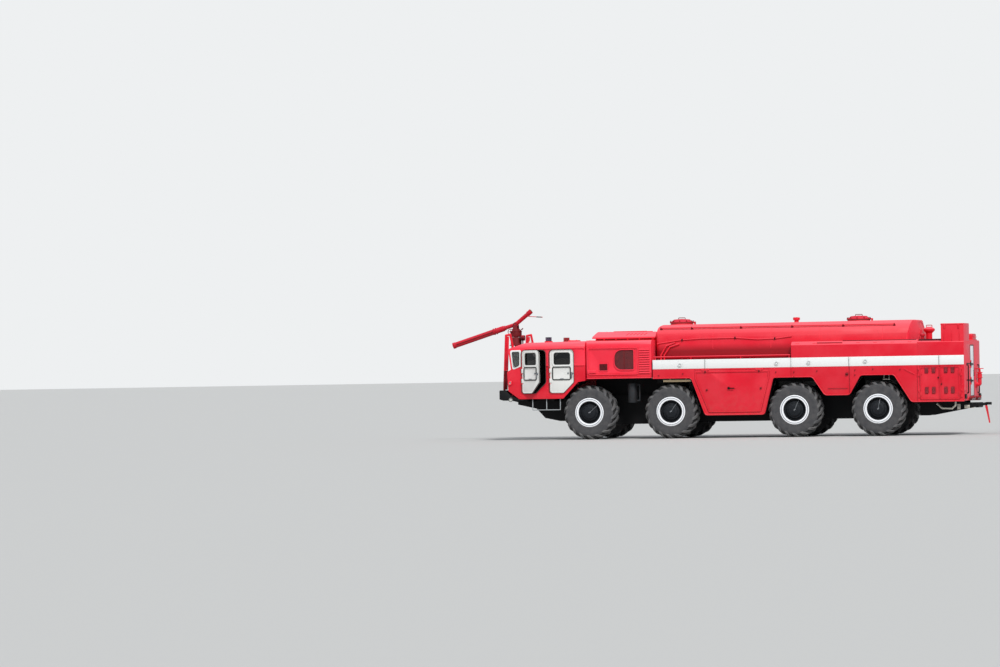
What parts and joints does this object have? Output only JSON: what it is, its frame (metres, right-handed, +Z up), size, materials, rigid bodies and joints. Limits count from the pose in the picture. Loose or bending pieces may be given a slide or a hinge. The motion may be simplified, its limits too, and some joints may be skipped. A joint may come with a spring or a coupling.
{
  "type": "airport fire truck",
  "caption": "Red eight-wheeled airport crash tender with two narrow cabs either side of its engine, a large water tank, a roof water cannon and opening side lockers.",
  "frame": {"origin": "on the ground, under the middle of the bounding box", "axes": "+X to the rear of the vehicle, +Y to its right side, +Z up"},
  "size_m": [14.586, 3.4411, 3.5056],
  "materials": {
    "red_paint": "semi-gloss, sun faded",
    "white_paint": "semi-gloss",
    "grey_paint": "semi-gloss",
    "black_paint": "satin, dusty",
    "tyre_rubber": "matte",
    "tinted_glass": "clear",
    "lamp_lens": "clear",
    "dark_trim": "matte",
    "bare_steel": "dusty"
  },
  "bodies": {
    "chassis": {"frame_rails": "black_paint", "running_gear": "black_paint", "engine_block": "black_paint", "front_bumper": "black_paint", "lamps": "lamp_lens", "cab_left": "red_paint", "cab_right": "red_paint", "window_frames": "white_paint", "cab_glass": "tinted_glass", "cab_interior": "dark_trim", "engine_bay": "red_paint", "monitor_frame": "red_paint", "tank": "red_paint", "handrails": "red_paint", "tank_pipes": "red_paint", "body_front": "red_paint", "body_rear": "red_paint", "side_bands": "white_paint", "underbody_fittings": "bare_steel", "tow_gear": "black_paint", "tow_leg": "red_paint"},
    "knuckle_1_left": {"knuckle_1_left": "black_paint"},
    "knuckle_1_right": {"knuckle_1_right": "black_paint"},
    "knuckle_2_left": {"knuckle_2_left": "black_paint"},
    "knuckle_2_right": {"knuckle_2_right": "black_paint"},
    "wheel_1_left": {"tyre_1_left": "tyre_rubber", "rim_1_left": "white_paint"},
    "wheel_1_right": {"tyre_1_right": "tyre_rubber", "rim_1_right": "white_paint"},
    "wheel_2_left": {"tyre_2_left": "tyre_rubber", "rim_2_left": "white_paint"},
    "wheel_2_right": {"tyre_2_right": "tyre_rubber", "rim_2_right": "white_paint"},
    "wheel_3_left": {"tyre_3_left": "tyre_rubber", "rim_3_left": "white_paint"},
    "wheel_3_right": {"tyre_3_right": "tyre_rubber", "rim_3_right": "white_paint"},
    "wheel_4_left": {"tyre_4_left": "tyre_rubber", "rim_4_left": "white_paint"},
    "wheel_4_right": {"tyre_4_right": "tyre_rubber", "rim_4_right": "white_paint"},
    "door_front_left": {"door_front_left": "grey_paint"},
    "door_rear_left": {"door_rear_left": "grey_paint"},
    "door_front_right": {"door_front_right": "grey_paint"},
    "door_rear_right": {"door_rear_right": "grey_paint"},
    "monitor_turret": {"monitor_turret": "red_paint"},
    "monitor_barrel": {"monitor_barrel": "red_paint"},
    "hatch_front": {"hatch_front": "red_paint"},
    "hatch_rear": {"hatch_rear": "red_paint"},
    "locker_mid_left": {"locker_mid_left": "red_paint"},
    "locker_rear_left_a": {"locker_rear_left_a": "red_paint"},
    "locker_rear_left_b": {"locker_rear_left_b": "red_paint"},
    "locker_mid_right": {"locker_mid_right": "red_paint"},
    "locker_rear_right_a": {"locker_rear_right_a": "red_paint"},
    "locker_rear_right_b": {"locker_rear_right_b": "red_paint"},
    "rear_door": {"rear_door": "grey_paint"}
  },
  "joints": [
    {"name": "steer_1_left", "type": "hinge", "parent": "chassis", "child": "knuckle_1_left", "pos_m": [-3.17295, -0.86464, 0.715], "axis": [0, 0, 1], "range_deg": [-25, 25]},
    {"name": "steer_1_right", "type": "hinge", "parent": "chassis", "child": "knuckle_1_right", "pos_m": [-3.17295, 1.23036, 0.715], "axis": [0, 0, 1], "range_deg": [-25, 25]},
    {"name": "steer_2_left", "type": "hinge", "parent": "chassis", "child": "knuckle_2_left", "pos_m": [-0.97295, -0.86464, 0.715], "axis": [0, 0, 1], "range_deg": [-17, 17]},
    {"name": "steer_2_right", "type": "hinge", "parent": "chassis", "child": "knuckle_2_right", "pos_m": [-0.97295, 1.23036, 0.715], "axis": [0, 0, 1], "range_deg": [-17, 17]},
    {"name": "roll_1_left", "type": "hinge", "parent": "knuckle_1_left", "child": "wheel_1_left", "pos_m": [-3.17295, -1.00464, 0.715], "axis": [0, 1, 0], "continuous": true},
    {"name": "roll_1_right", "type": "hinge", "parent": "knuckle_1_right", "child": "wheel_1_right", "pos_m": [-3.17295, 1.37036, 0.715], "axis": [0, 1, 0], "continuous": true},
    {"name": "roll_2_left", "type": "hinge", "parent": "knuckle_2_left", "child": "wheel_2_left", "pos_m": [-0.97295, -1.00464, 0.715], "axis": [0, 1, 0], "continuous": true},
    {"name": "roll_2_right", "type": "hinge", "parent": "knuckle_2_right", "child": "wheel_2_right", "pos_m": [-0.97295, 1.37036, 0.715], "axis": [0, 1, 0], "continuous": true},
    {"name": "roll_3_left", "type": "hinge", "parent": "chassis", "child": "wheel_3_left", "pos_m": [2.32705, -1.00464, 0.715], "axis": [0, 1, 0], "continuous": true},
    {"name": "roll_3_right", "type": "hinge", "parent": "chassis", "child": "wheel_3_right", "pos_m": [2.32705, 1.37036, 0.715], "axis": [0, 1, 0], "continuous": true},
    {"name": "roll_4_left", "type": "hinge", "parent": "chassis", "child": "wheel_4_left", "pos_m": [4.52705, -1.00464, 0.715], "axis": [0, 1, 0], "continuous": true},
    {"name": "roll_4_right", "type": "hinge", "parent": "chassis", "child": "wheel_4_right", "pos_m": [4.52705, 1.37036, 0.715], "axis": [0, 1, 0], "continuous": true},
    {"name": "door_front_left", "type": "hinge", "parent": "chassis", "child": "door_front_left", "pos_m": [-4.98495, -1.35614, 1.7], "axis": [0, 0, -1], "range_deg": [-34, 41]},
    {"name": "door_rear_left", "type": "hinge", "parent": "chassis", "child": "door_rear_left", "pos_m": [-4.22195, -1.35614, 1.7], "axis": [0, 0, -1], "range_deg": [0, 75]},
    {"name": "door_front_right", "type": "hinge", "parent": "chassis", "child": "door_front_right", "pos_m": [-4.98495, 1.72186, 1.7], "axis": [0, 0, 1], "range_deg": [0, 75]},
    {"name": "door_rear_right", "type": "hinge", "parent": "chassis", "child": "door_rear_right", "pos_m": [-4.22195, 1.72186, 1.7], "axis": [0, 0, 1], "range_deg": [0, 75]},
    {"name": "monitor_swivel", "type": "hinge", "parent": "chassis", "child": "monitor_turret", "pos_m": [-5.51295, 0.18286, 2.76], "axis": [0, 0, 1], "range_deg": [-70, 70]},
    {"name": "monitor_elevate", "type": "hinge", "parent": "monitor_turret", "child": "monitor_barrel", "pos_m": [-5.51295, 0.18286, 3.105], "axis": [0, 1, 0], "range_deg": [-10, 60]},
    {"name": "hatch_front", "type": "hinge", "parent": "chassis", "child": "hatch_front", "pos_m": [-0.59095, 0.18286, 3.0753], "axis": [0, 1, 0], "range_deg": [0, 100]},
    {"name": "hatch_rear", "type": "hinge", "parent": "chassis", "child": "hatch_rear", "pos_m": [4.17505, 0.18286, 3.0753], "axis": [0, 1, 0], "range_deg": [0, 100]},
    {"name": "locker_mid_left", "type": "hinge", "parent": "chassis", "child": "locker_mid_left", "pos_m": [0.75705, -1.35614, 1.784], "axis": [-1, 0, 0], "range_deg": [0, 95]},
    {"name": "locker_rear_left_a", "type": "hinge", "parent": "chassis", "child": "locker_rear_left_a", "pos_m": [5.63305, -1.35614, 1.36], "axis": [0, 0, -1], "range_deg": [0, 110]},
    {"name": "locker_rear_left_b", "type": "hinge", "parent": "chassis", "child": "locker_rear_left_b", "pos_m": [6.70105, -1.35614, 1.36], "axis": [0, 0, 1], "range_deg": [0, 110]},
    {"name": "locker_mid_right", "type": "hinge", "parent": "chassis", "child": "locker_mid_right", "pos_m": [0.75705, 1.72186, 1.784], "axis": [1, 0, 0], "range_deg": [0, 95]},
    {"name": "locker_rear_right_a", "type": "hinge", "parent": "chassis", "child": "locker_rear_right_a", "pos_m": [5.63305, 1.72186, 1.36], "axis": [0, 0, 1], "range_deg": [0, 110]},
    {"name": "locker_rear_right_b", "type": "hinge", "parent": "chassis", "child": "locker_rear_right_b", "pos_m": [6.70105, 1.72186, 1.36], "axis": [0, 0, -1], "range_deg": [0, 110]},
    {"name": "rear_door", "type": "hinge", "parent": "chassis", "child": "rear_door", "pos_m": [6.80505, -0.12114, 1.65], "axis": [0, 0, -1], "range_deg": [0, 110]}
  ],
  "couplings": [
    {"joint": "steer_1_right", "follows": "steer_1_left", "ratio": 1},
    {"joint": "steer_2_left", "follows": "steer_1_left", "ratio": 0.68},
    {"joint": "steer_2_right", "follows": "steer_1_left", "ratio": 0.68}
  ]
}
